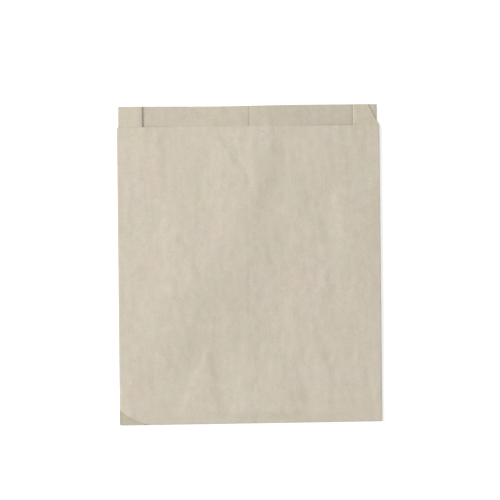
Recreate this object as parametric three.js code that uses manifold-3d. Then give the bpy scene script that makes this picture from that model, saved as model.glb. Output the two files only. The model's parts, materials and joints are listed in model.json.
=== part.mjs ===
// A flat kraft paper bag with side gussets, lying on its back with the front panel up.
// One sheet is wrapped into a tube, lapped and pasted along the back, and closed by a flap
// of the front panel that is turned under the bottom edge and pasted to the back.
// Millimetres. X runs across the bag, +Y towards its mouth, and the back lies on z = 0.
import * as THREE from 'three';
import { mergeVertices } from 'three/addons/utils/BufferGeometryUtils.js';
import Module from 'manifold-3d';

const wasm = await Module();
wasm.setup();

// Driving dimensions of the bag
const frontWidth = 180; // front panel, from side fold to side fold
const bagLength = 218; // bottom fold to the top edge of the back panel
const lipLength = 14.4; // how far the front panel is cut short of the back at the mouth
const flapLength = 14.4; // the front panel's flap that is turned under the bottom
const gussetDepth = 17.4; // front fold to the gusset's inner fold
const backInset = 1.6; // each back fold lies this far inside the front fold above it
const lapWidth = 10.3; // overlap of the sheet's two long edges on the back
const lapEdgeX = 0.3; // where the inner one of those two edges ends
const paperThickness = 0.12;
const pasteThickness = 0.06; // between two pasted plies
const foldRadius = 0.2; // of a side fold that springs open, to the middle of the paper
const gussetSpread = 0.5; // how far a gusset's two plies spring apart at the side
const slitTrimLeft = 1.05; // the gusset's cut edge in the lip lies this far inside the fold
const slitTrimRight = 1.4;
const slitFlareLength = 3.8; // the right slit runs out to the fold over this length

// How the plies lie
const openingLength = 45; // above the flap the plies go from pressed to sprung over this length
const drapeLength = 4; // a ply comes down beside the flap or the lap over this length
const bowHeight = 2.6; // the plies bow up off the table along a soft ridge
const bowRiseLength = 110; // above the flap the bow rises to its full height over this length
const bowRounding = 9; // rounding of the ridge, across it
const ridgeTopX = 10.5; // where the ridge meets the mouth
const ridgeBendY = 72; // below this height the ridge leans to the left
const ridgeLean = 0.44; // sideways travel of the ridge for each millimetre downwards
const mouthGap = 0.25; // clear height between front and back where they lie closest
const sagCentreX = 6; // where the front lies closest to the back
const sagRoundLeft = 26; // the front comes down to the back over this length from each gusset
const sagRoundRight = 58;

// Turned-under corners
const frontCornerHeight = 11.2; // lower left corner of the front panel: up the side fold
const frontCornerWidth = 21; // and along the bottom fold
const frontCornerPull = new THREE.Vector2(6.5, 3.2); // bends its fold line towards the corner
const lipCornerHeight = 12; // upper right corner of the gusset in the lip: down the slit
const lipCornerWidth = 5.6; // and along the top edge
const lipCornerRadius = 0.15; // of that fold, to the middle of the paper

// Mesh steps
const arcSteps = 4;
const backSteps = 6;
const plySteps = 2;
const frontSteps = 16;
const pressedSteps = 2;
const drapeSteps = 2;
const bodySteps = 13;
const lipSteps = 2;
const cornerSteps = 10;

// Heights and places that follow from them
const halfPaper = paperThickness / 2;
const pitch = paperThickness + pasteThickness; // from ply to ply where they are pressed
const bottomY = -bagLength / 2;
const topY = bagLength / 2;
const lipY = topY - lipLength;
const flapEndY = bottomY + flapLength;
const flapLevel = halfPaper;
const lapEndX = lapEdgeX - lapWidth;
const backFoldX = frontWidth / 2 - backInset;
const innerFoldX = frontWidth / 2 - gussetDepth;

function lerp(a, b, share) {
  return a + (b - a) * share;
}

function rise(value, from, to) {
  return THREE.MathUtils.smoothstep(value, from, to);
}

// The four plies of a gusset at height y: pressed over the flap, sprung open above it.
function stack(y) {
  const open = rise(y, flapEndY, flapEndY + openingLength);
  const back = flapLevel + pitch * (1 - rise(y, flapEndY, flapEndY + drapeLength));
  const backRadius = lerp(pitch / 2, foldRadius, open);
  const frontRadius = lerp(pitch, foldRadius, open);
  const lower = back + 2 * backRadius;
  const upper = lower + 2 * backRadius + gussetSpread * open;
  const innerCentre = (lower + upper) / 2;
  const front = upper + 2 * frontRadius;
  return { back, backRadius, frontRadius, lower, upper, innerCentre, front };
}

// Height by which all plies bow up off the table at a place.
function bow(x, y) {
  const ridgeX = ridgeTopX - ridgeLean * Math.max(0, ridgeBendY - y);
  const offset = x - ridgeX;
  const reach = offset < 0 ? backFoldX + ridgeX : backFoldX - ridgeX;
  const fall = (distance) => Math.hypot(distance, bowRounding) - bowRounding;
  const across = Math.max(0, 1 - fall(offset) / fall(reach));
  return bowHeight * across * rise(y, flapEndY, flapEndY + bowRiseLength);
}

// Height of the middle of the front panel's paper.
function frontLevel(x, y) {
  const plies = stack(y);
  const round = x < sagCentreX ? sagRoundLeft : sagRoundRight;
  const closed = plies.back + 2 * pitch + mouthGap;
  const sag = rise(innerFoldX - Math.abs(x), 0, round) * rise(y, flapEndY, flapEndY + openingLength);
  return lerp(plies.front, Math.min(plies.front, closed), sag) + bow(x, y);
}

// Height of the middle of a gusset's upper ply, which falls from the front fold to the inner fold.
function upperLevel(x, y) {
  const plies = stack(y);
  const inward = (frontWidth / 2 - Math.abs(x)) / gussetDepth;
  return lerp(plies.upper, plies.innerCentre + plies.backRadius, inward) + bow(x, y);
}

// Points of a half turn about a centre, from one ply to the next, bulging to the given side.
function halfTurn(centreX, centreZ, radius, side, startsLow) {
  const points = [];
  for (let step = 0; step <= arcSteps; step += 1) {
    const angle = Math.PI * (step / arcSteps - 0.5) * (startsLow ? 1 : -1);
    points.push([centreX + side * radius * Math.cos(angle), centreZ + radius * Math.sin(angle)]);
  }
  return points;
}

// Points of a straight ply, both ends left out.
function plyBetween(from, to, steps) {
  const points = [];
  for (let step = 1; step < steps; step += 1) {
    points.push([lerp(from[0], to[0], step / steps), lerp(from[1], to[1], step / steps)]);
  }
  return points;
}

// One side of the bag in section, from the lap out to the front fold. Side is -1 or 1.
function halfSection(side, y) {
  const plies = stack(y);
  const foldCentre = side * (backFoldX - halfPaper - plies.backRadius);
  const innerCentre = side * (innerFoldX + halfPaper + plies.backRadius);
  const frontCentre = side * (frontWidth / 2 - halfPaper - plies.frontRadius);
  const lapLift = side < 0 ? pitch : 0;
  const back = [
    [side < 0 ? lapEdgeX : lapEndX, plies.back + lapLift],
    [(lapEdgeX + lapEndX) / 2, plies.back + lapLift],
    [side < 0 ? lapEndX : lapEdgeX, plies.back + lapLift],
    [(side < 0 ? lapEndX : lapEdgeX) + side * drapeLength, plies.back],
  ];
  const backFold = halfTurn(foldCentre, plies.back + plies.backRadius, plies.backRadius, side, true);
  const innerFold = halfTurn(innerCentre, plies.innerCentre, plies.backRadius, -side, true);
  const frontFold = halfTurn(frontCentre, plies.front - plies.frontRadius, plies.frontRadius, side, true);
  return [
    ...back,
    ...plyBetween(back[3], backFold[0], backSteps),
    ...backFold,
    ...plyBetween(backFold[arcSteps], innerFold[0], plySteps),
    ...innerFold,
    ...plyBetween(innerFold[arcSteps], frontFold[0], plySteps),
    ...frontFold,
  ].map(([x, z]) => new THREE.Vector3(x, y, z + bow(x, y)));
}

// The whole section at height y, from the lap's inner edge round to its outer edge.
function section(y) {
  const left = halfSection(-1, y);
  const right = halfSection(1, y);
  const from = left[left.length - 1].x;
  const to = right[right.length - 1].x;
  const front = [];
  for (let step = 1; step < frontSteps; step += 1) {
    const x = lerp(from, to, step / frontSteps);
    front.push(new THREE.Vector3(x, y, frontLevel(x, y)));
  }
  return [...left, ...front, ...right.reverse()];
}

// Evenly spaced values after the first one.
function steps(from, to, count) {
  return Array.from({ length: count }, (_, index) => lerp(from, to, (index + 1) / count));
}

// The bottom fold: its centre, its radius, and the heights at which the sheet is stepped.
const bottomRadius = (stack(bottomY).front - flapLevel) / 2;
const plyEndY = bottomY + halfPaper + bottomRadius;
const drapeEndY = flapEndY + drapeLength;
const rows = [
  plyEndY,
  ...steps(plyEndY, flapEndY, pressedSteps),
  ...steps(flapEndY, drapeEndY, drapeSteps),
  ...steps(drapeEndY, lipY, bodySteps),
];
const lipRows = steps(lipY, topY, lipSteps);

// The middle surface of the sheet as rows of points, null where the sheet is cut away.
function sheetGrid() {
  const body = rows.map(section);
  const half = (body[0].length - frontSteps + 1) / 2;
  const isFront = (index) => index >= half - 1 && index <= body[0].length - half;
  const isCutFree = (index) => index >= half - arcSteps && index <= body[0].length - half + arcSteps - 1;
  const flap = body[0].map((point) => new THREE.Vector3(point.x, flapEndY, flapLevel));
  const turn = steps(0, 1, 2 * arcSteps).slice(0, -1).reverse().map((share) => {
    const angle = Math.PI * (0.5 + share);
    const y = plyEndY + bottomRadius * Math.cos(angle);
    const z = flapLevel + bottomRadius * (1 + Math.sin(angle));
    return body[0].map((point) => new THREE.Vector3(point.x, y, z));
  });
  const flapStart = body[0].map((point) => new THREE.Vector3(point.x, plyEndY, flapLevel));
  const frontOnly = (row) => row.map((point, index) => (isFront(index) ? point : null));
  const below = [flap, flapStart, ...turn].map(frontOnly);
  const lip = lipRows.map((y) => section(y).map((point, index) => (isCutFree(index) ? null : point)));
  return [...below, ...body, ...lip];
}

// Direction of the sheet at a point between two neighbours, either of which may be missing.
function tangent(before, point, after) {
  const direction = new THREE.Vector3();
  if (before) direction.add(point.clone().sub(before).normalize());
  if (after) direction.add(after.clone().sub(point).normalize());
  return direction.normalize();
}

// A closed solid of even thickness on both sides of a grid of points.
function sheetSolid(grid, thickness) {
  const positions = [];
  const numbers = grid.map((row, j) => row.map((point, i) => {
    if (!point) return null;
    const across = tangent(row[i - 1], point, row[i + 1]);
    const along = tangent(grid[j - 1]?.[i], point, grid[j + 1]?.[i]);
    const offset = across.cross(along).normalize().multiplyScalar(thickness / 2);
    positions.push(...point.clone().add(offset), ...point.clone().sub(offset));
    return positions.length / 3 - 2;
  }));
  const triangles = [];
  const edges = new Map();
  for (let j = 0; j + 1 < grid.length; j += 1) {
    for (let i = 0; i + 1 < grid[j].length; i += 1) {
      const corners = [numbers[j][i], numbers[j][i + 1], numbers[j + 1][i + 1], numbers[j + 1][i]];
      if (corners.includes(null)) continue;
      const [a, b, c, d] = corners;
      triangles.push(a, b, c, a, c, d);
      triangles.push(a + 1, c + 1, b + 1, a + 1, d + 1, c + 1);
      for (const [from, to] of [[a, b], [b, c], [c, d], [d, a]]) edges.set(`${from} ${to}`, [from, to]);
    }
  }
  for (const [from, to] of edges.values()) {
    if (!edges.has(`${to} ${from}`)) triangles.push(to, from, from + 1, to, from + 1, to + 1);
  }
  return solid(positions, triangles);
}

function solid(positions, triangles) {
  const vertProperties = Float32Array.from(positions);
  const triVerts = Uint32Array.from(triangles);
  return new wasm.Manifold(new wasm.Mesh({ numProp: 3, vertProperties, triVerts }));
}

function solidOf(geometry) {
  geometry.deleteAttribute('normal');
  geometry.deleteAttribute('uv');
  const merged = mergeVertices(geometry);
  return solid(merged.attributes.position.array, merged.index.array);
}

// Paste between the two plies of the lap, from the bottom fold to the top edge. Its heights lie
// halfway between those of the sheet.
function lapPaste() {
  const inset = lapWidth / 10;
  const sheetRows = [...rows, ...lipRows];
  const heights = sheetRows.slice(1).map((y, index) => (y + sheetRows[index]) / 2);
  const places = [lapEndX + inset, (lapEndX + lapEdgeX) / 2, lapEdgeX - inset];
  const grid = heights.map((y) => places.map((x) => {
    return new THREE.Vector3(x, y, stack(y).back + pitch / 2 + bow(x, y));
  }));
  return sheetSolid(grid, pasteThickness + paperThickness * 0.8);
}

// Paste between the flap and the back, short of the flap's edges.
function flapPaste() {
  const margin = flapLength / 10;
  const length = flapEndY - plyEndY - 2 * margin;
  const paste = new THREE.BoxGeometry(2 * (backFoldX - gussetDepth / 4), length, pasteThickness + halfPaper);
  paste.translate(0, (flapEndY + plyEndY) / 2, paperThickness + pasteThickness / 2);
  return solidOf(paste);
}

// An upright prism over an outline, between two heights.
function prism(outline, from, to) {
  const shape = new THREE.Shape(outline);
  const geometry = new THREE.ExtrudeGeometry(shape, { depth: to - from, bevelEnabled: false });
  return solidOf(geometry.translate(0, 0, from));
}

// Section of a turned-under edge. The ply ends at 0, rolls under and runs back by the reach; its
// root, a little thinner, sits inside the ply.
function turnSection(radius, reach) {
  const root = 2 * paperThickness;
  const inset = halfPaper * 0.7;
  const outer = [];
  const inner = [];
  for (let step = 1; step <= 2 * arcSteps; step += 1) {
    const angle = Math.PI * (0.5 - step / (2 * arcSteps));
    outer.push([(radius + halfPaper) * Math.cos(angle), (radius + halfPaper) * Math.sin(angle) - radius]);
    inner.push([(radius - halfPaper) * Math.cos(angle), (radius - halfPaper) * Math.sin(angle) - radius]);
  }
  const tip = [[-reach, -2 * radius - halfPaper], [-reach, -2 * radius + halfPaper]];
  const rootTop = [[-root, inset], [0, inset]];
  const rootBelow = [[0, -inset], [-root, -inset]];
  const loop = [...rootTop, ...outer, ...tip, ...inner.reverse(), ...rootBelow];
  return loop.map(([out, up]) => new THREE.Vector2(out, up)).reverse();
}

// A corner turned under along a fold line. Stations give place, outward direction and reach.
function turnedCorner(stations, radius, level) {
  const loops = stations.map(({ reach }) => turnSection(radius, reach));
  const size = loops[0].length;
  const positions = [];
  stations.forEach(({ place, outward }, index) => {
    for (const point of loops[index]) {
      const x = place.x + outward.x * point.x;
      const y = place.y + outward.y * point.x;
      positions.push(x, y, level(x, y) + point.y);
    }
  });
  const triangles = [];
  for (let ring = 0; ring + 1 < loops.length; ring += 1) {
    for (let k = 0; k < size; k += 1) {
      const a = ring * size + k;
      const b = ring * size + ((k + 1) % size);
      triangles.push(a, b + size, b, a, a + size, b + size);
    }
  }
  const last = (loops.length - 1) * size;
  for (const [a, b, c] of THREE.ShapeUtils.triangulateShape(loops[0], [])) triangles.push(a, b, c);
  for (const [a, b, c] of THREE.ShapeUtils.triangulateShape(loops[loops.length - 1], [])) {
    triangles.push(last + c, last + b, last + a);
  }
  return solid(positions, triangles);
}

// Stations along a fold line that has the corner on its right. The reach is that of the corner
// mirrored in the line's chord.
function foldStations(curve, corner, from, to) {
  const start = curve.getPoint(0);
  const chord = curve.getPoint(1).sub(start);
  const foot = corner.clone().sub(start).dot(chord) / chord.lengthSq();
  const depth = Math.abs(corner.clone().sub(start).cross(chord)) / chord.length();
  const stations = [];
  for (let step = 0; step <= cornerSteps; step += 1) {
    const share = lerp(from, to, step / cornerSteps);
    const place = curve.getPoint(share);
    const direction = curve.getTangent(share);
    const outward = new THREE.Vector2(direction.y, -direction.x);
    const along = place.clone().sub(start).dot(chord) / chord.lengthSq();
    const mirrored = along < foot ? along / foot : (1 - along) / (1 - foot);
    stations.push({ place, outward, reach: Math.max(depth * mirrored, 4 * paperThickness) });
  }
  return stations;
}

// Lower left corner of the front panel, turned under the panel above the gusset.
function turnFrontCorner(bag) {
  const corner = new THREE.Vector2(-frontWidth / 2, bottomY);
  const curve = new THREE.QuadraticBezierCurve(
    corner.clone().add(new THREE.Vector2(0, frontCornerHeight)),
    corner.clone().add(frontCornerPull),
    corner.clone().add(new THREE.Vector2(frontCornerWidth, 0)),
  );
  const plies = stack(bottomY);
  const stations = foldStations(curve, corner, 0.04, 0.9);
  const outline = [
    new THREE.Vector2(corner.x - 1, corner.y - 1),
    new THREE.Vector2(corner.x - 1, corner.y + frontCornerHeight),
    curve.getPoint(0),
    ...stations.map(({ place }) => place),
    curve.getPoint(1),
    new THREE.Vector2(corner.x + frontCornerWidth, corner.y - 1),
  ];
  const cut = prism(outline, plies.upper + pitch / 2, plies.front + 1);
  return bag.subtract(cut).add(turnedCorner(stations, pitch / 2, frontLevel));
}

// Upper right corner of the gusset's upper ply, where the lip bares it, turned under that ply.
function turnLipCorner(bag) {
  const corner = new THREE.Vector2(frontWidth / 2 - slitTrimRight, topY);
  const curve = new THREE.LineCurve(
    new THREE.Vector2(corner.x, corner.y - lipCornerHeight),
    new THREE.Vector2(corner.x - lipCornerWidth, corner.y),
  );
  const plies = stack(topY);
  const stations = foldStations(curve, corner, 0.04, 0.96);
  const outline = [
    new THREE.Vector2(corner.x + 1, corner.y + 1),
    new THREE.Vector2(corner.x + 1, corner.y - lipCornerHeight),
    curve.v1,
    curve.v2,
    new THREE.Vector2(corner.x - lipCornerWidth, corner.y + 1),
  ];
  const cut = prism(outline, (plies.lower + plies.upper) / 2, plies.front + bowHeight);
  return bag.subtract(cut).add(turnedCorner(stations, lipCornerRadius, upperLevel));
}

// The gussets' upper plies are cut back beside the lip, where the front panel was slit off them.
function trimSlits(bag) {
  const edge = frontWidth / 2;
  const outside = edge + 1;
  const leftOutline = [
    [-outside, lipY],
    [slitTrimLeft - edge, lipY],
    [slitTrimLeft - edge, topY + 1],
    [-outside, topY + 1],
  ];
  const rightOutline = [
    [outside, lipY],
    [outside, topY + 1],
    [edge - slitTrimRight, topY + 1],
    [edge - slitTrimRight, lipY + slitFlareLength],
    [edge, lipY],
  ];
  const height = stack(topY).front + bowHeight;
  const cuts = [leftOutline, rightOutline].map((outline) => {
    return prism(outline.map(([x, y]) => new THREE.Vector2(x, y)), -1, height);
  });
  return cuts.reduce((trimmed, cut) => trimmed.subtract(cut), bag);
}

function paperBag() {
  const tube = sheetSolid(sheetGrid(), paperThickness).add(lapPaste()).add(flapPaste());
  const bag = turnLipCorner(turnFrontCorner(trimSlits(tube)));
  const mesh = bag.getMesh();
  const geometry = new THREE.BufferGeometry();
  geometry.setAttribute('position', new THREE.BufferAttribute(mesh.vertProperties, 3));
  geometry.setIndex(new THREE.BufferAttribute(mesh.triVerts, 1));
  return geometry;
}

const kraftPaper = new THREE.MeshStandardMaterial({ color: 0xccc4b2, roughness: 0.85, metalness: 0 });
const group = new THREE.Group();
const bagMesh = new THREE.Mesh(paperBag(), kraftPaper);
bagMesh.name = 'paper_bag';
group.add(bagMesh);

export default group;
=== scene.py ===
import json
import math

import bpy
import numpy as np
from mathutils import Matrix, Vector

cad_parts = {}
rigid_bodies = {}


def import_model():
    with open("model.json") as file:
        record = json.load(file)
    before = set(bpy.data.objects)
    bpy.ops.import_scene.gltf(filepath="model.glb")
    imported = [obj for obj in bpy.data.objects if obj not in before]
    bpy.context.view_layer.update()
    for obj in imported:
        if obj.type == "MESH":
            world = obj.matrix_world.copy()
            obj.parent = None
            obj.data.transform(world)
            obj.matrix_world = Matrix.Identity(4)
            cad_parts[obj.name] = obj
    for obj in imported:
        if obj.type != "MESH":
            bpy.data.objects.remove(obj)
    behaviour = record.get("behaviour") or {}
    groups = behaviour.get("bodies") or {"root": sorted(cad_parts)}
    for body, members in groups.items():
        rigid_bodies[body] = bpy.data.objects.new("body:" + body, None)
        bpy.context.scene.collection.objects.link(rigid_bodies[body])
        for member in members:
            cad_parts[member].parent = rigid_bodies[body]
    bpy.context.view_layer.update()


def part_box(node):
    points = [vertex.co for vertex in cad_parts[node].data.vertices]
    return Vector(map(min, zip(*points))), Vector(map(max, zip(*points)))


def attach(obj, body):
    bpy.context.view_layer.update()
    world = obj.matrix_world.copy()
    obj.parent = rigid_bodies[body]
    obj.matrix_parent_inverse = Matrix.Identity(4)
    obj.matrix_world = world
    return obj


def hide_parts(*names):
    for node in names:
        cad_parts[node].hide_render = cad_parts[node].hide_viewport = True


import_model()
MM = 0.001

# A flat kraft paper bag with side gussets, lying on its back with the front panel up. The sheet
# is laid out again here as the solid has it, finer, with the soft creases and waves of the paper.
# Sizes are in millimetres. X runs across the bag and Y towards its mouth.
BOX_LOW, BOX_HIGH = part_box("paper_bag")
FRONT_WIDTH = (BOX_HIGH.x - BOX_LOW.x) / MM
BOTTOM_Y = BOX_LOW.y / MM
TOP_Y = BOX_HIGH.y / MM
HALF_WIDTH = FRONT_WIDTH / 2

LIP_LENGTH = 14.4
FLAP_LENGTH = 14.4
GUSSET_DEPTH = 17.4
BACK_INSET = 1.6
LAP_WIDTH = 10.3
LAP_EDGE_X = 0.3
LAP_EDGE_LIFT = 0.8
LAP_PRESS_SHARE = 0.25
PAPER = 0.12
PASTE = 0.06
FOLD_RADIUS = 0.16
PLY_END_REACH = 0.8
GUSSET_SPREAD = 0.12
SLIT_TRIM_LEFT = 1.05
SLIT_TRIM_RIGHT = 1.4
SLIT_FLARE = 3.2
SLIT_START = 0.3

# How the plies lie: pressed over the flap, opened above it and bowed up softly towards the mouth
OPENING_LENGTH = 45.0
DRAPE_LENGTH = 4.0
FRONT_DRAPE_LENGTH = 22.0
BOW_HEIGHT = 2.6
BOW_RISE_LENGTH = 110.0
BOW_ROUNDING = 9.0
RIDGE_TOP_X = 10.5
RIDGE_BEND_Y = 72.0
RIDGE_LEAN = 0.44

# The front panel sags onto the back in its middle, over the lap and a little room beside it
SAG_CENTRE_X = 6.0
SAG_ROUND_LEFT = 26.0
SAG_ROUND_RIGHT = 40.0
SAG_ROUND_BODY = 64.0
SAG_MOUTH_LENGTH = 36.0
GAP_LEFT = 0.12
GAP_RIGHT = 0.2
GAP_LEFT_SPAN = (6, 66)
GAP_RIGHT_SPAN = (12, 66)
LAP_RISE_LENGTH = 14.0
LAP_EDGE_ROUNDING = 0.5
LAP_FALL_LENGTH = 9.0

# The least air between the front and the plies under it, with more room where their waves differ
LEAST_GAP = 0.045
WAVE_ROOM = 0.15
CLEAR_ROUNDING = 0.02
NOTHING_UNDER = -1e3

# The plies under the front take part in creases and waves where the bow lifts them by this much
LOOSE_LIFT = (0.1, 0.6)

# The bottom edge runs a little aslant, and the slant fades out above it
BOTTOM_SLANT = 0.55
SLANT_ABOVE = 10.0
SLANT_END_Y = 40.0

# How much further in the inner folds of the gussets lie, left and right
INNER_FOLD_WANDER = (0.1, 0.6)

# The front springs up a little above the bottom fold: between which heights over the bottom edge,
# and between which places across the bag
BOTTOM_SPRING = 0.6
SPRING_RISE = (0.5, 9)
SPRING_FALL = (12, 50)
SPRING_LEFT = (-30, 0)
SPRING_RIGHT = (50, 85)

# Creases fade out towards the side folds and the bottom fold, where the paper is held
HELD_SIDE = 9
HELD_BOTTOM = (1, 9)

# Turned-under corners
FRONT_CORNER = (21.0, 11.2)
FRONT_CORNER_PULL = (6.5, 3.2)
CORNER_LIFT = 0.4
CORNER_LIFT_PLACE = (6.5, 5.0)
CORNER_LIFT_REACH = 3.6
LIP_CORNER = (6.2, 12.6)
LIP_CORNER_RADIUS = 0.085
FRONT_CORNER_SPAN = (0.04, 0.9)
LIP_CORNER_SPAN = (0.03, 0.97)
LEAST_TUCK = 0.5
CUT_MARGIN = 1.0
CORNER_STEPS = 28
TUCK_STEPS = 6
JOIN_SHARE = 0.7
FOLD_NUDGE = 1e-4

# The top edge dips softly
TOP_DIP = 0.6
TOP_DIP_X = -20.0
TOP_DIP_REACH = 38.0

# Mesh steps
ARC_STEPS = 6
BACK_STEPS = 27
LAP_STEPS = 4
PLY_STEPS = 6
FRONT_STEPS = 150
ROW_PITCH = 1.4

# Heights and places that follow
HALF_PAPER = PAPER / 2
PITCH = PAPER + PASTE
LIP_Y = TOP_Y - LIP_LENGTH
FLAP_END_Y = BOTTOM_Y + FLAP_LENGTH
LAP_END_X = LAP_EDGE_X - LAP_WIDTH
BACK_FOLD_X = HALF_WIDTH - BACK_INSET
INNER_FOLD_X = HALF_WIDTH - GUSSET_DEPTH

# Soft creases of the paper: start, end, width and drop. Across a crease the paper falls by about
# the drop towards the right, and one with a negative drop rises.
CREASES = [
    ((-20, 89), (-11, 73), 2.2, 0.28),
    ((-12, 75), (-1, 59), 2.0, 0.28),
    ((-2, 107), (-2, 86), 2.4, 0.18),
    ((-16, 109), (-9, 93), 2.2, 0.46),
    ((19, 93), (17, 52), 5.0, 0.30),
    ((53, 95), (57, 64), 3.2, 0.14),
    ((65, 86), (69, 55), 3.0, 0.15),
    ((10, 13), (16, -3), 2.8, 0.30),
    ((18, -3), (6, -23), 3.0, 0.12),
    ((-1, 2), (-1, -35), 1.4, 0.13),
    ((0, -30), (17, -46), 3.0, 0.24),
    ((-50, 27), (-47, 14), 2.8, 0.10),
    ((-41, 9), (-33, -7), 2.6, 0.14),
    ((-40, -43), (-43, -71), 5.5, 0.38),
    ((-27, -59), (-21, -105), 6.0, 0.52),
    ((36, -44), (34, -67), 2.4, 0.12),
    ((45, -44), (57, -81), 3.2, 0.36),
    ((53, -10), (58, -42), 3.6, 0.32),
    ((30, -71), (38, -96), 3.4, 0.28),
    ((32, -96), (66, -105), 2.6, 0.40),
    ((-83, -68), (-75, -91), 3.4, 0.12),
    ((-72, -77), (-56, -104), 3.2, 0.18),
    ((4, -60), (5, -87), 1.8, 0.09),
    ((-82, -27), (-79, -47), 2.6, 0.12),
    ((-72, 23), (-71, -9), 3.0, 0.10),
    ((-71, 83), (-71, 58), 2.4, 0.06),
    ((-60, 92), (-58, 55), 3.6, 0.12),
    ((48, 27), (57, 1), 2.8, 0.15),
    ((-56, 46), (-58, -23), 8.0, -0.46),
    ((-26, 82), (-21, 64), 3.4, -0.18),
    ((-24, 62), (-19, 23), 5.0, -0.26),
    ((-24, 25), (-27, 0), 5.0, -0.20),
    ((1, 92), (4, 45), 3.6, -0.20),
    ((-10, 89), (-2, 68), 2.6, -0.18),
    ((58, 52), (64, 6), 5.5, -0.30),
    ((60, 54), (66, -34), 14.0, -0.42),
    ((23, -30), (31, -55), 3.6, -0.14),
    ((34, -17), (36, -40), 2.4, -0.10),
    ((-37, -68), (-48, -103), 4.4, -0.22),
    ((-27, -53), (-37, -75), 2.6, -0.16),
    ((-8, -76), (-3, -108), 3.6, -0.14),
    ((-5, -47), (-3, -67), 2.4, -0.12),
    ((2, 39), (25, 13), 9.0, 0.34),
    ((34, 45), (52, 18), 8.0, 0.26),
    ((-28, 0), (-3, -41), 8.0, 0.34),
    ((19, 84), (7, 36), 8.0, 0.24),
    ((1, -92), (42, -106), 8.0, 0.26),
    ((24, -69), (33, -110), 9.0, 0.62),
    ((-76, -13), (-65, -64), 8.0, -0.30),
]
CREASE_FADE = 0.35
CREASE_FADE_MOST = 8.0

# The lap's edge shows faintly through the front
SEAM_X = -0.8
SEAM_WIDTH = 0.9
SEAM_DEPTH = 0.02

# Waves and ripples of the paper: height, length across the bag and length along it
WAVES = (0.07, 9.0, 26.0)
RIPPLES = (0.05, 4.5, 15.0)
WAVE_SEED = 3.7
PAPER_SIDES = ("Outside", "Inside", "Cut Edge")
NOISE_GAIN = 4.0
SHARP_ANGLE = math.radians(40)

# Flecks in the paper that stand out: place and radius
DARK_FLECKS = [
    ((10, 91), 0.45), ((-27, 55), 0.4), ((-72, 59), 0.35), ((-3, 62), 0.35), ((-25, 102), 0.35),
]
PALE_FLECK = ((-82, -81), 0.5)
FLECK_HEART = 0.4
FLECK_STRENGTH = 0.85

# Colours, as light reflected in each channel
OUTSIDE_COLOUR = (0.609, 0.5505, 0.449)
INSIDE_COLOUR = (0.597, 0.540, 0.436)
EDGE_COLOUR = (0.640, 0.590, 0.490)
FLECK_COLOUR = (0.250, 0.205, 0.150)
PALE_FLECK_COLOUR = (0.85, 0.83, 0.78)
# Painted shade: the inside between the gussets' inner folds is darkened where it shows in the lip,
# standing in for the shade under the front panel's top edge
LIP_PAINTED_SHADE = (0.95, 0.948, 0.943)
# Painted shadow: a thin dark line on the inside along the right gusset's inner fold, standing in
# for the shadow in the crevice under the fold
FOLD_PAINTED_SHADOW = (0.84, 0.83, 0.81)
FOLD_SHADOW_X = 71.5
FOLD_SHADOW_WIDTH = 0.75
# Painted shade: the inside at the turned-under lower left front corner is darkened, standing in for
# the shade there
CORNER_PAINTED_SHADE = (0.88, 0.89, 0.83)
CORNER_SHADE_RIM = (1.1, 1.5)
LIP_SHADE_RIM = 0.3

# How strongly each pattern shows in the paper
OUTSIDE_LOOK = {"Streaks": 0.055, "Clouds": 0.17, "Grain": 0.25, "Hue": 0.11, "Flecks": 0.5}
INSIDE_LOOK = {**OUTSIDE_LOOK, "Grain": 0.27}
EDGE_LOOK = {"Streaks": 0.0, "Clouds": 0.04, "Grain": 0.12, "Hue": 0.0, "Flecks": 0.0}

# The patterns' sizes: how many to a metre across the bag, along it and through it
STREAK_SCALE = (430, 60, 60)
BROAD_STREAK_SCALE = (110, 25, 20)
CLOUD_SCALE = (210, 150, 60)
GRAIN_SCALE = (1050, 700, 900)
GRAIN_DETAIL = 3.0
HUE_SCALES = ((35, 28, 20), (38, 30, 20), (30, 33, 20))
HUE_SHARES = (0.6, -0.5, 1.0)
FLECK_SCALE = (95, 70, 80)
FLECK_RIM = (0.012, 0.035)
FLECK_CHANCE_FROM = 0.45

# Surface of the paper
CLOUD_RELIEF = 0.6
BUMP_DISTANCE = 0.00003
BUMP_STRENGTH = 0.6
ROUGHNESS = 0.85
SPECULAR = 0.25

# How much paler than its lit colour the camera sees the floor
FLOOR_GLOW = 0.3
FLOOR_SHADE = 0.8
FLOOR_HALF_WIDTH = 1500
FLOOR_LEVEL = -0.05

# The window on the left, a little behind the bag's mouth, and the even light from all round
WINDOW_DISTANCE = 3.2
WINDOW_SIZE = 1.3
WINDOW_POWER = 95.0
WINDOW_HEIGHT = math.radians(23)
WINDOW_TURN = math.radians(20)
ROOM_LIGHT = 0.635

# The photograph's frame
FRAME_WIDTH = 343.1
LENS = 120.0
SENSOR = 36.0
CAMERA_TURN = math.radians(-0.6)
CAMERA_AIM = (0.5, 9.8)


def lerp(a, b, share):
    return a + (b - a) * share


def rise(value, start, end):
    share = np.clip((value - start) / (end - start), 0.0, 1.0)
    return share * share * (3 - 2 * share)


def stack(y):
    """Heights of a gusset's four plies at y: pressed over the flap, sprung open above it."""
    opened = rise(y, FLAP_END_Y, FLAP_END_Y + OPENING_LENGTH)
    back = HALF_PAPER + PITCH * (1 - rise(y, FLAP_END_Y, FLAP_END_Y + DRAPE_LENGTH))
    back_radius = lerp(PITCH / 2, FOLD_RADIUS, opened)
    front_radius = lerp(PITCH, FOLD_RADIUS, opened)
    lower = back + 2 * back_radius
    upper = lower + 2 * back_radius + GUSSET_SPREAD * opened
    front = upper + 2 * front_radius
    return back, back_radius, front_radius, lower, upper, front


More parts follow.
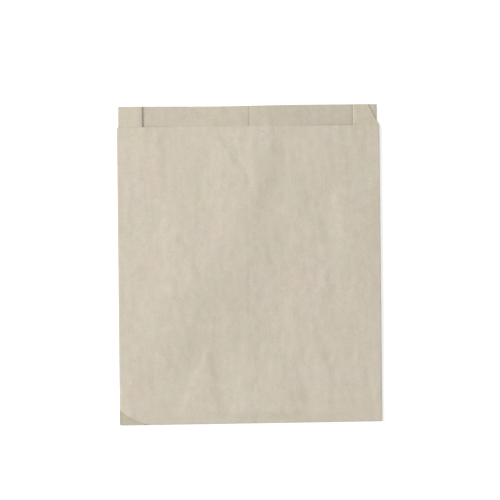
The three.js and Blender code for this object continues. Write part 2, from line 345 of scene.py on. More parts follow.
def bow(x, y):
    """Height by which all plies bow up off the table."""
    ridge_x = RIDGE_TOP_X - RIDGE_LEAN * np.maximum(0, RIDGE_BEND_Y - y)
    offset = x - ridge_x
    reach = np.where(offset < 0, BACK_FOLD_X + ridge_x, BACK_FOLD_X - ridge_x)
    fall = np.hypot(offset, BOW_ROUNDING) - BOW_ROUNDING
    full_fall = np.hypot(reach, BOW_ROUNDING) - BOW_ROUNDING
    across = np.maximum(0, 1 - fall / full_fall)
    return BOW_HEIGHT * across * rise(y, FLAP_END_Y, FLAP_END_Y + BOW_RISE_LENGTH)


def front_level(x, y):
    """Height of the middle of the front panel's paper, without its creases."""
    back, _, _, _, _, front = stack(y)
    drape = PITCH * (rise(y, FLAP_END_Y, FLAP_END_Y + DRAPE_LENGTH)
                     - rise(y, FLAP_END_Y, FLAP_END_Y + FRONT_DRAPE_LENGTH))
    lap = PITCH * rise(x, LAP_END_X - LAP_RISE_LENGTH, LAP_END_X)
    lap = lap * (1 - rise(x, LAP_EDGE_X - LAP_EDGE_ROUNDING, LAP_EDGE_X + LAP_FALL_LENGTH))
    gap = lap + GAP_LEFT * rise(-x, *GAP_LEFT_SPAN) + GAP_RIGHT * rise(x, *GAP_RIGHT_SPAN)
    reach = np.where(x < SAG_CENTRE_X, SAG_ROUND_LEFT, SAG_ROUND_RIGHT)
    reach = lerp(SAG_ROUND_BODY, reach, rise(y, LIP_Y - SAG_MOUTH_LENGTH, LIP_Y))
    closed = np.minimum(front, back + PAPER + LEAST_GAP + gap)
    sag = rise(INNER_FOLD_X - np.abs(x), 0, reach)
    sag = sag * rise(y, FLAP_END_Y, FLAP_END_Y + OPENING_LENGTH)
    lift_x, lift_y = CORNER_LIFT_PLACE
    away = np.hypot(x + HALF_WIDTH - lift_x, y - BOTTOM_Y - lift_y)
    curl = CORNER_LIFT * np.exp(-((away / CORNER_LIFT_REACH) ** 2) / 2)
    above = y - BOTTOM_Y
    spring = BOTTOM_SPRING * rise(above, *SPRING_RISE) * (1 - rise(above, *SPRING_FALL))
    spring = spring * rise(x, *SPRING_LEFT) * (1 - rise(x, *SPRING_RIGHT))
    return lerp(front, closed, sag) + drape + curl + spring + bow(x, y)


def crease(x, y, start, end, width, drop):
    """Height of one soft crease: a fall to its right side, with both sides levelling out again."""
    run_x, run_y = end[0] - start[0], end[1] - start[1]
    length = math.hypot(run_x, run_y)
    along = ((x - start[0]) * run_x + (y - start[1]) * run_y) / length
    aside = ((y - start[1]) * run_x - (x - start[0]) * run_y) / length / width
    fade = min(length * CREASE_FADE, CREASE_FADE_MOST)
    ends = rise(along, -fade, fade) * (1 - rise(along, length - fade, length + fade))
    return -drop * aside / (1 + aside * aside) * ends


def relief(x, y):
    """Creases of the paper over the smooth form."""
    height = sum(crease(x, y, *line) for line in CREASES)
    return height - SEAM_DEPTH * np.exp(-(((x - SEAM_X) / SEAM_WIDTH) ** 2))


def half_turn(centre_x, centre_z, radius, side):
    """Points of a half turn from one ply up to the next, bulging to the given side."""
    angles = np.pi * (np.arange(ARC_STEPS + 1) / ARC_STEPS - 0.5)
    return [
        (centre_x + side * radius * math.cos(a), centre_z + radius * math.sin(a)) for a in angles
    ]


def ply(start, end, steps):
    """Points of a straight ply, both ends left out."""
    shares = np.arange(1, steps) / steps
    return [(lerp(start[0], end[0], s), lerp(start[1], end[1], s)) for s in shares]


def gusset_edge(side, y):
    """Where the gusset's upper ply ends: at the front fold, or at its cut edge in the lip."""
    if y < LIP_Y + 1e-6:
        return None
    if side < 0:
        return HALF_WIDTH - SLIT_TRIM_LEFT * float(rise(y, LIP_Y, LIP_Y + SLIT_START))
    trim = SLIT_TRIM_RIGHT * min(1.0, (y - LIP_Y) / SLIT_FLARE)
    width, height = LIP_CORNER
    return HALF_WIDTH - trim - width * max(0.0, (y - TOP_Y + height) / height)


def half_section(side, y):
    """One side of the bag in section, from the lap out to the front fold."""
    back_z, back_radius, front_radius, lower, upper, front = (float(v) for v in stack(y))
    wander = INNER_FOLD_WANDER[0] if side < 0 else INNER_FOLD_WANDER[1]
    fold_x = side * (BACK_FOLD_X - HALF_PAPER - back_radius)
    inner_x = side * (INNER_FOLD_X - wander + HALF_PAPER + back_radius)
    front_x = side * (HALF_WIDTH - HALF_PAPER - front_radius)
    lift = PITCH if side < 0 else 0.0
    lap_far = LAP_END_X if side < 0 else LAP_EDGE_X
    pressed_x = lerp(LAP_EDGE_X, LAP_END_X, LAP_PRESS_SHARE)
    lap_x = [LAP_EDGE_X, *np.linspace(pressed_x, LAP_END_X, LAP_STEPS + 1)]
    lap = [(x, back_z + lift * (LAP_EDGE_LIFT if x == LAP_EDGE_X else 1)) for x in lap_x[::-side]]
    lap.append((lap_far + side * DRAPE_LENGTH, back_z))
    back_fold = half_turn(fold_x, back_z + back_radius, back_radius, side)
    inner_fold = half_turn(inner_x, (lower + upper) / 2, back_radius, -side)
    front_fold = half_turn(front_x, front - front_radius, front_radius, side)
    edge = gusset_edge(side, y)
    upper_end = front_fold[0]
    if edge is not None:
        upper_end = (side * min(edge, abs(front_x)), upper_end[1])
    front_fold[0] = upper_end
    points = lap + ply(lap[-1], back_fold[0], BACK_STEPS) + back_fold
    points += ply(back_fold[-1], inner_fold[0], PLY_STEPS) + inner_fold
    return points + ply(inner_fold[-1], upper_end, PLY_STEPS) + front_fold


def steps(start, end, pitch):
    """Even values after the first one, about a pitch apart."""
    count = max(1, round(abs(end - start) / pitch))
    return [lerp(start, end, (k + 1) / count) for k in range(count)]


def sheet_points():
    """Middle surface of the sheet as rows of points, not a number where the sheet is cut away."""
    radius = float(stack(BOTTOM_Y)[5] - HALF_PAPER) / 2
    ply_end_y = BOTTOM_Y + HALF_PAPER + radius
    body_rows = [ply_end_y, *steps(ply_end_y, FLAP_END_Y, ROW_PITCH)]
    body_rows += steps(FLAP_END_Y, FLAP_END_Y + DRAPE_LENGTH, ROW_PITCH)
    body_rows += steps(FLAP_END_Y + DRAPE_LENGTH, LIP_Y, ROW_PITCH)
    lip_rows = [LIP_Y + SLIT_START, *steps(LIP_Y + SLIT_START, TOP_Y, ROW_PITCH)]
    rows = body_rows + lip_rows
    left = np.array([half_section(-1, y) for y in rows])
    right = np.array([half_section(1, y) for y in rows])[:, ::-1]
    shares = np.arange(1, FRONT_STEPS) / FRONT_STEPS
    front_x = lerp(left[:, -1, 0][:, None], right[:, 0, 0][:, None], shares)
    y_grid = np.array(rows)[:, None]
    front_z = front_level(front_x, y_grid)
    side_count = left.shape[1]
    x = np.hstack([left[:, :, 0], front_x, right[:, :, 0]])
    y = np.broadcast_to(y_grid, x.shape)
    fixed = np.hstack([left[:, :, 1], front_z - bow(front_x, y_grid), right[:, :, 1]])
    lift = bow(x, y)
    weight = rise(lift, *LOOSE_LIFT)
    from_side = HALF_WIDTH - np.abs(x)
    front_weight = rise(from_side, 0, HELD_SIDE) * rise(y - BOTTOM_Y, *HELD_BOTTOM)
    is_front = np.zeros(x.shape, bool)
    is_front[:, side_count:-side_count] = True
    weight = np.where(is_front, front_weight, weight)
    z = fixed + lift + weight * relief(x, y)
    for row in range(len(body_rows)):
        keep_clear(x[row], z[row], weight[row], side_count)
    y = y.copy()
    room = (radius - HALF_PAPER) ** 2 - (z[0] - HALF_PAPER - radius) ** 2
    y[0] -= PLY_END_REACH * np.sqrt(np.maximum(0, room)) * ~is_front[0]
    grid = np.stack([x, y, z, weight], axis=-1)
    first, last = side_count - 1, x.shape[1] - side_count
    for row in range(len(body_rows), len(rows)):
        grid[row, first - ARC_STEPS + 1:last + ARC_STEPS] = np.nan
    below = [flap_row(grid[0], FLAP_END_Y, HALF_PAPER, first, last)]
    for y_flap in steps(FLAP_END_Y, ply_end_y, ROW_PITCH * 2):
        below.append(flap_row(grid[0], y_flap, HALF_PAPER, first, last))
    for k in range(1, 2 * ARC_STEPS):
        angle = math.pi * (1.5 - k / (2 * ARC_STEPS))
        y_turn = ply_end_y + radius * math.cos(angle)
        z_turn = HALF_PAPER + radius * (1 + math.sin(angle))
        below.append(flap_row(grid[0], y_turn, z_turn, first, last))
    grid = np.concatenate([np.array(below), grid])
    slant = 1 - rise(grid[:, :, 1], BOTTOM_Y + SLANT_ABOVE, SLANT_END_Y)
    grid[:, :, 1] += BOTTOM_SLANT * (grid[:, :, 0] / HALF_WIDTH) * slant
    dip = TOP_DIP * np.exp(-(((grid[:, :, 0] - TOP_DIP_X) / TOP_DIP_REACH) ** 2))
    grid[:, :, 1] -= dip * rise(grid[:, :, 1], LIP_Y, TOP_Y)
    return grid


def keep_clear(x, z, weight, side_count):
    """Lifts a row of the front panel softly where it would come too near the plies under it."""
    front = slice(side_count, len(x) - side_count)
    # Which points of a side, counted from the lap, are the back and which the gusset's upper ply
    back_end = side_count - 3 * (ARC_STEPS + 1) - 2 * (PLY_STEPS - 1) + 1
    upper_start = side_count - 2 * (ARC_STEPS + 1) - (PLY_STEPS - 1) + ARC_STEPS // 2
    upper_end = side_count - ARC_STEPS
    least = np.full(x[front].shape, NOTHING_UNDER)
    for start, end in ((0, back_end), (upper_start, upper_end)):
        for part in (slice(start, end), slice(len(x) - end, len(x) - start)):
            order = np.argsort(x[part])
            ply_x, ply_z, ply_weight = x[part][order], z[part][order], weight[part][order]
            under = np.interp(x[front], ply_x, ply_z, left=NOTHING_UNDER, right=NOTHING_UNDER)
            unlike = np.abs(weight[front] - np.interp(x[front], ply_x, ply_weight))
            least = np.maximum(least, under + PAPER + LEAST_GAP + WAVE_ROOM * unlike)
    z[front] = (z[front] + least + np.hypot(z[front] - least, CLEAR_ROUNDING)) / 2


def flap_row(body_row, y, z, first, last):
    """A row of the front panel's own ply below the body: the bottom fold or the flap."""
    row = np.full(body_row.shape, np.nan)
    row[first:last + 1, 0] = body_row[first:last + 1, 0]
    row[first:last + 1, 3] = 0.0
    row[first:last + 1, 1] = y
    row[first:last + 1, 2] = z
    return row


def unit(vectors):
    length = np.linalg.norm(vectors, axis=-1, keepdims=True)
    return vectors / np.where(length > 0, length, 1)


def tangents(grid, axis):
    """Direction of the sheet along one axis of the grid, from the neighbours that exist."""
    ahead = np.full(grid.shape, np.nan)
    behind = np.full(grid.shape, np.nan)
    step = np.diff(grid, axis=axis)
    if axis == 0:
        ahead[:-1], behind[1:] = step, step
    else:
        ahead[:, :-1], behind[:, 1:] = step, step
    return unit(np.nan_to_num(unit(ahead)) + np.nan_to_num(unit(behind)))


def sheet_mesh(sheet):
    """A closed mesh of even thickness on both sides of the sheet: outside, inside and cut edges."""
    grid, looseness = sheet[:, :, :3], sheet[:, :, 3]
    exists = ~np.isnan(grid[:, :, 0])
    normal = unit(np.cross(tangents(grid, 1), tangents(grid, 0)))
    outer = (grid + normal * HALF_PAPER)[exists]
    inner = (grid - normal * HALF_PAPER)[exists]
    count = len(outer)
    number = np.full(exists.shape, -1)
    number[exists] = np.arange(count)
    cells = np.stack([number[:-1, :-1], number[:-1, 1:], number[1:, 1:], number[1:, :-1]], axis=-1)
    cells = cells.reshape(-1, 4)
    cells = cells[(cells >= 0).all(axis=1)]
    borders = {}
    for cell in cells.tolist():
        for start, end in zip(cell, cell[1:] + cell[:1]):
            if borders.pop((end, start), None) is None:
                borders[(start, end)] = True
    rims = [(end, start, start + count, end + count) for start, end in borders]
    faces = cells.tolist() + (cells[:, ::-1] + count).tolist() + rims
    kinds = [0] * len(cells) + [1] * len(cells) + [2] * len(rims)
    return np.concatenate([outer, inner]), faces, kinds, np.tile(looseness[exists], 2)


def bezier(start, pull, end, share):
    rest = 1 - share
    weights = (rest * rest, 2 * rest * share, share * share)
    return tuple(sum(w * v for w, v in zip(weights, values)) for values in zip(start, pull, end))


def corner_stations(line, corner, low, high):
    """Places along a fold line with the corner on its right, and how far the tuck reaches back."""
    start, end = np.array(line(0.0)), np.array(line(1.0))
    chord = end - start
    to_corner = np.array(corner) - start
    foot = to_corner @ chord / (chord @ chord)
    depth = abs(to_corner[0] * chord[1] - to_corner[1] * chord[0]) / math.hypot(*chord)
    stations = []
    for share in np.linspace(low, high, CORNER_STEPS + 1):
        place = np.array(line(share))
        run = np.array(line(share + FOLD_NUDGE)) - np.array(line(share - FOLD_NUDGE))
        run = run / math.hypot(*run)
        along = (place - start) @ chord / (chord @ chord)
        mirrored = along / foot if along < foot else (1 - along) / (1 - foot)
        stations.append((place, np.array([run[1], -run[0]]), max(depth * mirrored, LEAST_TUCK)))
    return stations


def turn_section(radius, reach):
    """Section of a turned-under edge: the ply ends at 0, rolls under and runs back by the reach."""
    root, inset = 2 * PAPER, HALF_PAPER * JOIN_SHARE
    angles = [math.pi * (0.5 - k / (2 * ARC_STEPS)) for k in range(1, 2 * ARC_STEPS + 1)]
    arcs = []
    for r in (radius + HALF_PAPER, radius - HALF_PAPER):
        arcs.append([(r * math.cos(a), r * math.sin(a) - radius) for a in angles])
    shares = [k / TUCK_STEPS for k in range(1, TUCK_STEPS + 1)]
    tuck = [(-reach * share, -2 * radius - HALF_PAPER) for share in shares]
    tuck += [(-reach * share, -2 * radius + HALF_PAPER) for share in reversed(shares)]
    turn = [*arcs[0], *tuck, *arcs[1][::-1]]
    return [(-root, inset), (0, inset), *turn, (0, -inset), (-root, -inset)]


def turned_corner(stations, radius, level):
    """Vertices and faces of a corner of paper turned under along a fold line."""
    loops = [turn_section(radius, reach) for _, _, reach in stations]
    size = len(loops[0])
    points = []
    for (place, outward, _), loop in zip(stations, loops):
        for out, up in loop:
            x, y = place + outward * out
            points.append((x, y, float(level(x, y)) + up))
    faces = []
    for ring in range(len(loops) - 1):
        for k in range(size):
            a, b = ring * size + k, ring * size + (k + 1) % size
            faces.append((a, b, b + size, a + size))
    faces.append(tuple(range(size))[::-1])
    faces.append(tuple(range((len(loops) - 1) * size, len(loops) * size)))
    return np.array(points), faces


def upper_level(x, y):
    """Height of the middle of a gusset's upper ply."""
    _, back_radius, _, lower, upper, _ = stack(y)
    inward = (HALF_WIDTH - abs(x)) / GUSSET_DEPTH
    return lerp(upper, (lower + upper) / 2 + back_radius, inward) + bow(x, y)


def new_object(name, points, faces):
    mesh = bpy.data.meshes.new(name)
    mesh.from_pydata((np.asarray(points) * MM).tolist(), [], faces)
    mesh.validate()
    piece = bpy.data.objects.new(name, mesh)
    bpy.context.scene.collection.objects.link(piece)
    return piece


def node(tree, kind, inputs=(), **settings):
    """Adds a node, links or sets its inputs by name or number, and returns it."""
    made = tree.nodes.new(kind)
    for key, value in settings.items():
        setattr(made, key, value)
    for key, value in dict(inputs).items():
        if isinstance(value, bpy.types.NodeSocket):
            tree.links.new(value, made.inputs[key])
        else:
            made.inputs[key].default_value = value
    return made


def math_node(tree, operation, first, second=0.0, third=0.0):
    inputs = {0: first, 1: second, 2: third}
    return node(tree, "ShaderNodeMath", inputs, operation=operation).outputs[0]


def mixed_colour(tree, share, first, second, blend="MIX"):
    """Blends a colour with one given as its three channels."""
    inputs = {"Factor": share, 6: first, 7: (*second, 1.0)}
    return node(tree, "ShaderNodeMix", inputs, data_type="RGBA", blend_type=blend).outputs[2]


def fade(tree, value, start, end, strength=1.0):
    """A mask at full strength up to the start, and none from the end on."""
    inputs = {"Value": value, "From Min": start, "From Max": end, "To Min": strength, "To Max": 0.0}
    return node(tree, "ShaderNodeMapRange", inputs).outputs[0]


def kraft_group():
    """Node group with what shows in kraft paper: streaks along the web, clouds, grain, flecks."""
    group = bpy.data.node_groups.new("kraft fibres", "ShaderNodeTree")
    sockets = group.interface
    sockets.new_socket("Place", in_out="INPUT", socket_type="NodeSocketVector")
    sockets.new_socket("Paper", in_out="INPUT", socket_type="NodeSocketColor")
    for name in OUTSIDE_LOOK:
        sockets.new_socket(name, in_out="INPUT", socket_type="NodeSocketFloat")
    sockets.new_socket("Colour", in_out="OUTPUT", socket_type="NodeSocketColor")
    sockets.new_socket("Height", in_out="OUTPUT", socket_type="NodeSocketFloat")
    given = group.nodes.new("NodeGroupInput").outputs

    def pattern(scale, detail=2.0):
        place = node(group, "ShaderNodeMapping", {"Vector": given["Place"], "Scale": scale})
        inputs = {"Vector": place.outputs[0], "Scale": 1.0, "Detail": detail}
        value = node(group, "ShaderNodeTexNoise", inputs).outputs[0]
        return math_node(group, "SUBTRACT", value, 0.5)

    tone = math_node(group, "MULTIPLY", pattern(STREAK_SCALE), given["Streaks"])
    broad = math_node(group, "MULTIPLY", pattern(BROAD_STREAK_SCALE), given["Streaks"])
    tone = math_node(group, "ADD", tone, broad)
    clouds = pattern(CLOUD_SCALE)
    tone = math_node(group, "MULTIPLY_ADD", clouds, given["Clouds"], tone)
    grain = pattern(GRAIN_SCALE, GRAIN_DETAIL)
    tone = math_node(group, "MULTIPLY_ADD", grain, given["Grain"], tone)
    level = math_node(group, "ADD", tone, 1.0)
    inputs = {0: given["Paper"], "Scale": level}
    toned = node(group, "ShaderNodeVectorMath", inputs, operation="SCALE").outputs[0]
    channels = []
    for scale, share in zip(HUE_SCALES, HUE_SHARES):
        drift = math_node(group, "MULTIPLY", pattern(scale), given["Hue"])
        channels.append(math_node(group, "MULTIPLY_ADD", drift, share, 1.0))
    hue = node(group, "ShaderNodeCombineXYZ", dict(enumerate(channels))).outputs[0]
    toned = node(group, "ShaderNodeVectorMath", {0: toned, 1: hue}, operation="MULTIPLY").outputs[0]
    spots = node(group, "ShaderNodeMapping", {"Vector": given["Place"], "Scale": FLECK_SCALE})
    cells = node(group, "ShaderNodeTexVoronoi", {"Vector": spots.outputs[0], "Scale": 1.0}).outputs
    near = fade(group, cells["Distance"], *FLECK_RIM)
    chance = node(group, "ShaderNodeSeparateColor", {0: cells["Color"]}).outputs[0]
    picked = math_node(group, "GREATER_THAN", chance, FLECK_CHANCE_FROM)
    mask = math_node(group, "MULTIPLY", near, picked)
    mask = math_node(group, "MULTIPLY", mask, given["Flecks"])
    node(group, "NodeGroupOutput", {
        "Colour": mixed_colour(group, mask, toned, FLECK_COLOUR),
        "Height": math_node(group, "MULTIPLY_ADD", clouds, CLOUD_RELIEF, grain),
    })
    return group


def marked_flecks(tree, place, colour):
    """Mixes the few larger flecks into a colour, each at its own place on the front."""
    marks = [(spot, FLECK_COLOUR) for spot in DARK_FLECKS] + [(PALE_FLECK, PALE_FLECK_COLOUR)]
    inputs = {0: place, 1: (1.0, 1.0, 0.0)}
    flat = node(tree, "ShaderNodeVectorMath", inputs, operation="MULTIPLY").outputs[0]
    for ((x, y), radius), fleck_colour in marks:
        inputs = {0: flat, 1: (x * MM, y * MM, 0.0)}
        away = node(tree, "ShaderNodeVectorMath", inputs, operation="DISTANCE").outputs["Value"]
        near = fade(tree, away, radius * MM * FLECK_HEART, radius * MM, FLECK_STRENGTH)
        colour = mixed_colour(tree, near, colour, fleck_colour)
    return colour


def inside_painted_shade(tree, place, colour):
    """Paints shade between the gussets' inner folds, which shows in the lip, a shadow line along
    the right inner fold, and shade at the lower left corner.
    """
    where = node(tree, "ShaderNodeSeparateXYZ", {0: place}).outputs
    across = math_node(tree, "ABSOLUTE", where[0])
    # Painted shade over the inside between the gussets' inner folds, which shows in the lip
    lip = math_node(tree, "LESS_THAN", across, (INNER_FOLD_X - LIP_SHADE_RIM) * MM)
    # Painted shade over the lower left corner, out to just past the line of its fold
    from_left = math_node(tree, "ADD", where[0], HALF_WIDTH * MM)
    from_bottom = math_node(tree, "SUBTRACT", where[1], (BOTTOM_Y - BOTTOM_SLANT) * MM)
    width, height = FRONT_CORNER
    share = math_node(tree, "DIVIDE", from_left, width * MM)
    share = math_node(tree, "ADD", share, math_node(tree, "DIVIDE", from_bottom, height * MM))
    corner_shade = fade(tree, share, *CORNER_SHADE_RIM)
    # The pressed mask is a painted shadow line along the right gusset's inner fold
    half_line = FOLD_SHADOW_WIDTH / 2 * MM
    pressed = math_node(tree, "COMPARE", where[0], FOLD_SHADOW_X * MM, half_line)
    for mask, tint in ((lip, LIP_PAINTED_SHADE), (corner_shade, CORNER_PAINTED_SHADE), (pressed, FOLD_PAINTED_SHADOW)):
        colour = mixed_colour(tree, mask, colour, tint, "MULTIPLY")
    return colour


def kraft_material(name, group, paper, look, finish=None):
    """Paper of one colour, with the strength of each pattern and a last change to its colour."""
    material = bpy.data.materials.new(name)
    material.use_nodes = True
    tree = material.node_tree
    shader = tree.nodes["Principled BSDF"]
    place = node(tree, "ShaderNodeTexCoord").outputs["Object"]
    fibres = node(tree, "ShaderNodeGroup", node_tree=group)
    tree.links.new(place, fibres.inputs["Place"])
    fibres.inputs["Paper"].default_value = (*paper, 1.0)
    for key, strength in look.items():
        fibres.inputs[key].default_value = strength
    colour = fibres.outputs["Colour"]
    if finish:
        colour = finish(tree, place, colour)
    tree.links.new(colour, shader.inputs["Base Color"])
    relief_height = fibres.outputs["Height"]
    inputs = {"Height": relief_height, "Distance": BUMP_DISTANCE, "Strength": BUMP_STRENGTH}
    tree.links.new(node(tree, "ShaderNodeBump", inputs).outputs[0], shader.inputs["Normal"])
    shader.inputs["Roughness"].default_value = ROUGHNESS
    shader.inputs["Specular IOR Level"].default_value = SPECULAR
    return material


def paper_bag(materials):
    """The bag's sheet, with its lower left front corner cut along the fold and turned under."""
    points, faces, kinds, looseness = sheet_mesh(sheet_points())
    bag = new_object("paper_bag_sheet", points, faces)
    loose = bag.data.attributes.new("looseness", "FLOAT", "POINT")
    loose.data.foreach_set("value", looseness)
    side = bag.data.attributes.new("side", "INT", "FACE")
    side.data.foreach_set("value", kinds)
    wave_paper(bag, materials)
    corner = (-HALF_WIDTH, BOTTOM_Y - BOTTOM_SLANT)
    start = (corner[0], corner[1] + FRONT_CORNER[1])
    end = (corner[0] + FRONT_CORNER[0], corner[1])
    pull = (corner[0] + FRONT_CORNER_PULL[0], corner[1] + FRONT_CORNER_PULL[1])

    def front_fold(share):
        return bezier(start, pull, end, share)

    stations = corner_stations(front_fold, corner, *FRONT_CORNER_SPAN)
    upper, front = float(stack(BOTTOM_Y)[4]), float(stack(BOTTOM_Y)[5])
    outline = [(corner[0] - CUT_MARGIN, corner[1] - CUT_MARGIN), (end[0], end[1] - CUT_MARGIN), end]
    outline += [tuple(place) for place, _, _ in reversed(stations)]
    outline += [start, (start[0] - CUT_MARGIN, start[1])]
    cutter = prism("corner_cut", outline, upper + PITCH / 2, front + CUT_MARGIN)
    cut = bag.modifiers.new("corner", "BOOLEAN")
    cut.object = cutter
    cut.operation = "DIFFERENCE"
    cut.solver = "EXACT"
    apply_modifiers(bag)
    bpy.data.objects.remove(cutter)
    tucks = [turned_corner(stations, PITCH / 2, front_level)]
    lip_corner = (HALF_WIDTH - SLIT_TRIM_RIGHT, TOP_Y)
    low = (lip_corner[0], lip_corner[1] - LIP_CORNER[1])
    high = (lip_corner[0] - LIP_CORNER[0], lip_corner[1])

    def lip_fold(share):
        return tuple(lerp(a, b, share) for a, b in zip(low, high))

    lip_stations = corner_stations(lip_fold, lip_corner, *LIP_CORNER_SPAN)
    tucks.append(turned_corner(lip_stations, LIP_CORNER_RADIUS, upper_level))
    add_parts(bag, tucks)
    return bag


def apply_modifiers(piece):
    evaluated = piece.evaluated_get(bpy.context.evaluated_depsgraph_get())
    mesh = bpy.data.meshes.new_from_object(evaluated)
    piece.modifiers.clear()
    piece.data = mesh


def wave_tree():
    """Geometry nodes that lift loose paper by waves and ripples and give each side its paper."""
    tree = bpy.data.node_groups.new("paper waves", "GeometryNodeTree")
    sockets = tree.interface
    sockets.new_socket("Sheet", in_out="INPUT", socket_type="NodeSocketGeometry")
    for layer in ("Wave", "Ripple"):
        for size in ("Height", "Across", "Along"):
            sockets.new_socket(f"{layer} {size}", in_out="INPUT", socket_type="NodeSocketFloat")
    sockets.new_socket("Seed", in_out="INPUT", socket_type="NodeSocketFloat")
    for side in PAPER_SIDES:
        sockets.new_socket(side, in_out="INPUT", socket_type="NodeSocketMaterial")
    sockets.new_socket("Paper", in_out="OUTPUT", socket_type="NodeSocketGeometry")
    given = tree.nodes.new("NodeGroupInput").outputs
    position = tree.nodes.new("GeometryNodeInputPosition").outputs[0]
    place = node(tree, "ShaderNodeSeparateXYZ", {0: position}).outputs
    lift = None
    for layer in ("Wave", "Ripple"):
        where = node(tree, "ShaderNodeCombineXYZ", {
            0: math_node(tree, "DIVIDE", place[0], given[f"{layer} Across"]),
            1: math_node(tree, "DIVIDE", place[1], given[f"{layer} Along"]),
            2: given["Seed"],
        })
        inputs = {"Vector": where.outputs[0], "Scale": 1.0, "Detail": 1.0}
        uneven = node(tree, "ShaderNodeTexNoise", inputs).outputs[0]
        centred = math_node(tree, "SUBTRACT", uneven, 0.5)
        high = math_node(tree, "MULTIPLY", centred, given[f"{layer} Height"])
        lift = high if lift is None else math_node(tree, "ADD", lift, high)
    inputs = {"Name": "looseness"}
    loose = node(tree, "GeometryNodeInputNamedAttribute", inputs, data_type="FLOAT").outputs[0]
    offset = node(tree, "ShaderNodeCombineXYZ", {2: math_node(tree, "MULTIPLY", lift, loose)})
    inputs = {"Geometry": given["Sheet"], "Offset": offset.outputs[0]}
    moved = node(tree, "GeometryNodeSetPosition", inputs)
    shown = node(tree, "GeometryNodeRealizeInstances", {"Geometry": moved.outputs[0]})
    inputs = {"Name": "side"}
    kind = node(tree, "GeometryNodeInputNamedAttribute", inputs, data_type="INT").outputs[0]
    for number, side in enumerate(PAPER_SIDES):
        inputs = {2: kind, 3: number}
        chosen = node(tree, "FunctionNodeCompare", inputs, data_type="INT", operation="EQUAL")
        shown = node(tree, "GeometryNodeSetMaterial", {
            "Geometry": shown.outputs[0], "Selection": chosen.outputs[0], "Material": given[side],
        })
    node(tree, "NodeGroupOutput", {"Paper": shown.outputs[0]})
    return tree


def wave_paper(piece, materials):
    """Lays the waves and ripples over a piece with a looseness at each of its points."""
    for material in materials:
        piece.data.materials.append(material)
    tree = wave_tree()
    waves = piece.modifiers.new("waves", "NODES")
    waves.node_group = tree
    values = {"Seed": WAVE_SEED, **dict(zip(PAPER_SIDES, materials))}
    for layer, (height, across, along) in (("Wave", WAVES), ("Ripple", RIPPLES)):
        values[f"{layer} Height"] = height * NOISE_GAIN * MM
        values[f"{layer} Across"] = across * MM
        values[f"{layer} Along"] = along * MM
    for socket in tree.interface.items_tree:
        if socket.name in values:
            waves[socket.identifier] = values[socket.name]
    apply_modifiers(piece)


def add_parts(piece, parts):
    """Joins further closed shells into a piece's mesh."""
    made = [new_object("part", points, faces) for points, faces in parts]
    for part in made:
        for material in piece.data.materials:
            part.data.materials.append(material)
    for item in bpy.context.view_layer.objects:
        item.select_set(item in made or item == piece)
    bpy.context.view_layer.objects.active = piece
    bpy.ops.object.join()


def prism(name, outline, low, high):
    count = len(outline)
    points = [(x, y, low) for x, y in outline] + [(x, y, high) for x, y in outline]
    sides = [(k, (k + 1) % count, (k + 1) % count + count, k + count) for k in range(count)]
    ends = [tuple(range(count))[::-1], tuple(range(count, 2 * count))]
    return new_object(name, points, sides + ends)


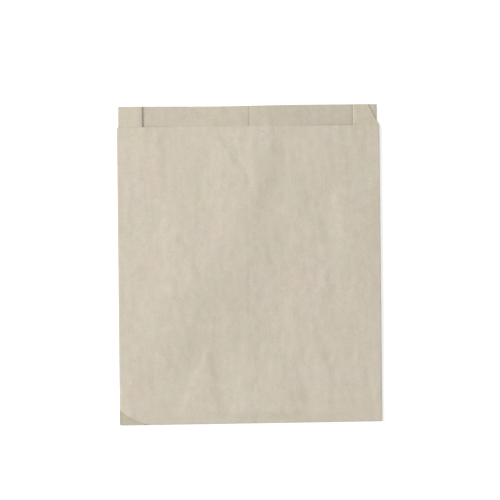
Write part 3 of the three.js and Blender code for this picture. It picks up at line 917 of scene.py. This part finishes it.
def studio():
    """A pale floor, even light from all round and a soft low light from the left."""
    corners = [(-1, -1), (1, -1), (1, 1), (-1, 1)]
    corners = [(x * FLOOR_HALF_WIDTH, y * FLOOR_HALF_WIDTH, FLOOR_LEVEL) for x, y in corners]
    floor = new_object("floor", corners, [(0, 1, 2, 3)])
    pale = bpy.data.materials.new("pale floor")
    pale.use_nodes = True
    seen = node(pale.node_tree, "ShaderNodeLightPath").outputs["Is Camera Ray"]
    shade = (FLOOR_SHADE, FLOOR_SHADE, FLOOR_SHADE, 1.0)
    colour = mixed_colour(pale.node_tree, seen, shade, (1.0, 1.0, 1.0))
    shader = pale.node_tree.nodes["Principled BSDF"]
    pale.node_tree.links.new(colour, shader.inputs["Base Color"])
    shader.inputs["Roughness"].default_value = 1.0
    shader.inputs["Specular IOR Level"].default_value = 0.0
    shader.inputs["Emission Color"].default_value = (1.0, 1.0, 1.0, 1.0)
    glow = math_node(pale.node_tree, "MULTIPLY", seen, FLOOR_GLOW)
    pale.node_tree.links.new(glow, shader.inputs["Emission Strength"])
    floor.data.materials.append(pale)

    world = bpy.data.worlds.new("studio")
    world.use_nodes = True
    bpy.context.scene.world = world
    path = node(world.node_tree, "ShaderNodeLightPath").outputs
    seen = math_node(world.node_tree, "MAXIMUM", path["Is Camera Ray"], path["Is Glossy Ray"])
    seen = math_node(world.node_tree, "MAXIMUM", seen, path["Is Transmission Ray"])
    inputs = {"Value": seen, "To Min": ROOM_LIGHT, "To Max": 1.0}
    strength = node(world.node_tree, "ShaderNodeMapRange", inputs)
    background = world.node_tree.nodes["Background"]
    background.inputs["Color"].default_value = (1.0, 1.0, 1.0, 1.0)
    world.node_tree.links.new(strength.outputs[0], background.inputs["Strength"])

    lamp = bpy.data.lights.new("window", "AREA")
    lamp.shape = "DISK"
    lamp.size = WINDOW_SIZE
    lamp.energy = WINDOW_POWER
    window = bpy.data.objects.new("window", lamp)
    bpy.context.scene.collection.objects.link(window)
    across = WINDOW_DISTANCE * math.cos(WINDOW_HEIGHT)
    towards = Vector((-across * math.cos(WINDOW_TURN), across * math.sin(WINDOW_TURN),
                      WINDOW_DISTANCE * math.sin(WINDOW_HEIGHT)))
    window.location = towards
    window.rotation_euler = (-towards).to_track_quat("-Z", "Y").to_euler()


def camera():
    """A long lens straight above the bag, turned a little as the photograph is."""
    data = bpy.data.cameras.new("camera")
    data.lens = LENS
    data.sensor_width = SENSOR
    eye = bpy.data.objects.new("camera", data)
    bpy.context.scene.collection.objects.link(eye)
    eye.location = (CAMERA_AIM[0] * MM, CAMERA_AIM[1] * MM, FRAME_WIDTH * MM * LENS / SENSOR)
    eye.rotation_euler = (0.0, 0.0, CAMERA_TURN)
    bpy.context.scene.camera = eye


fibres = kraft_group()
outside = kraft_material("kraft outside", fibres, OUTSIDE_COLOUR, OUTSIDE_LOOK, marked_flecks)
inside = kraft_material("kraft inside", fibres, INSIDE_COLOUR, INSIDE_LOOK, inside_painted_shade)
cut_edge = kraft_material("kraft cut edge", fibres, EDGE_COLOUR, EDGE_LOOK)
bag = paper_bag([outside, inside, cut_edge])
bag.data.shade_smooth()
bag.data.set_sharp_from_angle(angle=SHARP_ANGLE)
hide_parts("paper_bag")
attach(bag, "root")
studio()
camera()
bpy.context.scene.view_settings.view_transform = "Standard"
